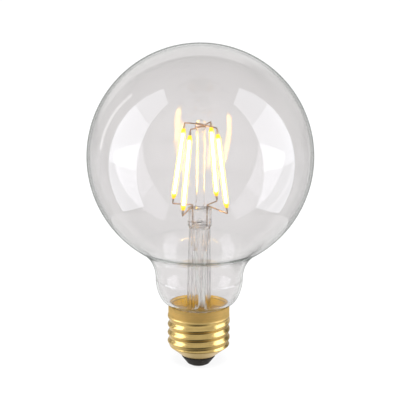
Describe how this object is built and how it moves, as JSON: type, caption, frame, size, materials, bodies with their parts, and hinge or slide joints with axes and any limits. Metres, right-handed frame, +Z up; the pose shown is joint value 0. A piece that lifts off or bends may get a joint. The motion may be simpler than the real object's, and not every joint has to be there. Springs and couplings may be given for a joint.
{
  "type": "globe bulb",
  "caption": "Clear glass globe bulb with upright glowing filaments on a glass stem and a gold screw cap with a black insulator, for a standard Edison screw lamp holder.",
  "frame": {"origin": "lowest point of the centre contact, on the lamp's axis", "axes": "+Z up the axis from the centre contact to the crown of the globe, +Y away from the picture's camera"},
  "size_m": [0.095, 0.095, 0.1393],
  "materials": {
    "clear_glass": "clear blown glass",
    "gold_shell": "gold coloured, satin",
    "black_insulator": "satin black",
    "contact_metal": "dull solder",
    "cement": "matt",
    "nickel_wire": "drawn wire",
    "white_sleeve": "matt",
    "lit_phosphor": "glowing warm white",
    "filament_strip": "matt",
    "filament_pin": "plain metal",
    "circuit_board": "satin",
    "black_component": "matt",
    "capacitor_can": "sleeved",
    "resistor_body": "coated"
  },
  "bodies": {
    "root": {"glass_envelope": "clear_glass", "glass_stem": "clear_glass", "exhaust_tube": "clear_glass", "support_rod": "clear_glass", "cap_shell": "gold_shell", "cap_insulator": "black_insulator", "centre_contact": "contact_metal", "cap_cement": "cement", "top_wire_lower": "nickel_wire", "top_wire_upper": "nickel_wire", "lead_wire_left": "nickel_wire", "lead_wire_right": "nickel_wire", "branch_wire_left": "nickel_wire", "branch_wire_right": "nickel_wire", "shell_wire": "nickel_wire", "lead_sleeve_left": "white_sleeve", "lead_sleeve_right": "white_sleeve", "filament_1_coating": "lit_phosphor", "filament_2_coating": "lit_phosphor", "filament_3_coating": "lit_phosphor", "filament_4_coating": "lit_phosphor", "filament_1_strip": "filament_strip", "filament_2_strip": "filament_strip", "filament_3_strip": "filament_strip", "filament_4_strip": "filament_strip", "filament_1_pins": "filament_pin", "filament_2_pins": "filament_pin", "filament_3_pins": "filament_pin", "filament_4_pins": "filament_pin", "driver_board": "circuit_board", "driver_chip": "black_component", "bridge_rectifier": "black_component", "smoothing_capacitor": "capacitor_can", "fusible_resistor": "resistor_body"}
  },
  "joints": []
}
